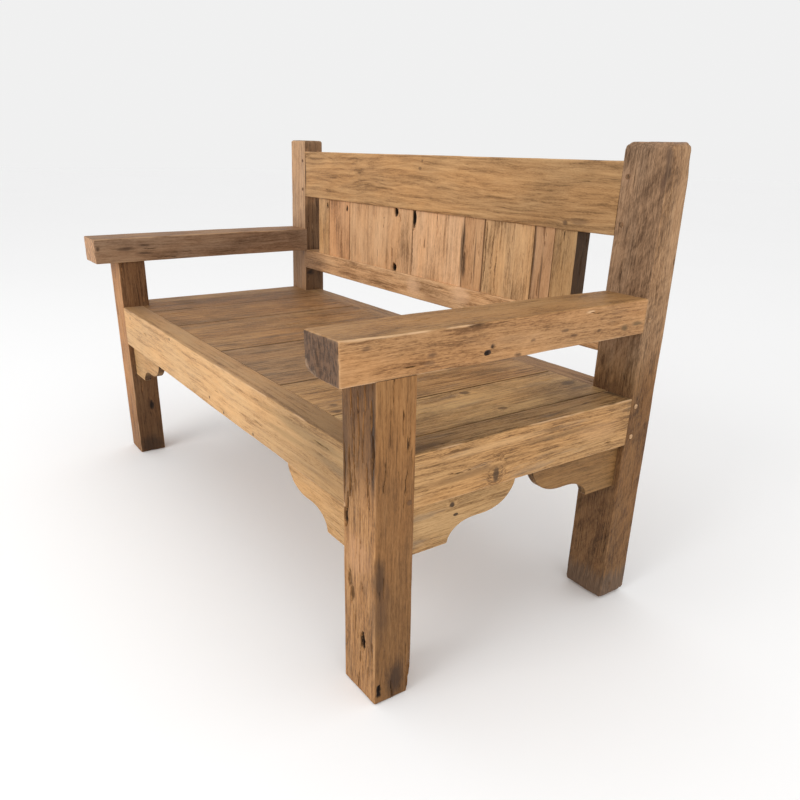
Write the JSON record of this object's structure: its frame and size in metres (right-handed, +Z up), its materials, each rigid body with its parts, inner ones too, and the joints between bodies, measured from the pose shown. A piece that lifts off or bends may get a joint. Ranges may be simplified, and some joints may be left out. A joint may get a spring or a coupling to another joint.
{
  "type": "rustic bench with arms and back",
  "caption": "Heavy rustic bench of reclaimed wood with a boarded back, thick flat arms and ogee brackets under the seat rails.",
  "frame": {"origin": "middle of the bench's box, on the floor", "axes": "+X along the bench to the right as seen from the front, +Y from front to back, +Z up"},
  "size_m": [1.422, 0.7198, 0.904],
  "materials": {
    "leg_timber": "brushed and thinly waxed, weathered brown with vertical checks",
    "arm_timber": "brushed and thinly waxed, tan with dark knots",
    "seat_rails": "planed and thinly waxed, honey coloured, grey-brown on top",
    "seat_boards": "worn smooth, matt grey-brown",
    "back_rails": "planed and thinly waxed, golden brown with wavy dark streaks",
    "back_boards": "weathered and brushed, pale tan with cracks and old holes",
    "bracket_boards": "sawn and lightly sanded, pale tan",
    "hidden_battens": "sawn, unfinished",
    "peg_wood": "cut flush, end grain",
    "steel_screws": "plain zinc-plated"
  },
  "bodies": {
    "root": {"arm_left": "arm_timber", "arm_pegs": "peg_wood", "arm_right": "arm_timber", "back_board_1": "back_boards", "back_board_2": "back_boards", "back_board_3": "back_boards", "back_board_4": "back_boards", "back_board_5": "back_boards", "back_board_6": "back_boards", "back_board_7": "back_boards", "back_board_8": "back_boards", "back_board_9": "back_boards", "back_bottom_rail": "back_rails", "back_post_left": "leg_timber", "back_post_right": "leg_timber", "back_rail": "seat_rails", "back_top_rail": "back_rails", "bracket_dowels": "peg_wood", "front_bracket_left": "bracket_boards", "front_bracket_right": "bracket_boards", "front_leg_left": "leg_timber", "front_leg_right": "leg_timber", "front_rail": "seat_rails", "ledger_screws": "steel_screws", "seat_batten": "hidden_battens", "seat_board_1": "seat_boards", "seat_board_2": "seat_boards", "seat_board_3": "seat_boards", "seat_board_4": "seat_boards", "seat_board_5": "seat_boards", "seat_board_6": "seat_boards", "seat_ledger_back": "hidden_battens", "seat_ledger_front": "hidden_battens", "seat_screws": "steel_screws", "side_bracket_left_front": "bracket_boards", "side_bracket_left_rear": "bracket_boards", "side_bracket_right_front": "bracket_boards", "side_bracket_right_rear": "bracket_boards", "side_rail_left": "seat_rails", "side_rail_pegs": "peg_wood", "side_rail_right": "seat_rails", "top_rail_pegs": "peg_wood"}
  },
  "joints": []
}
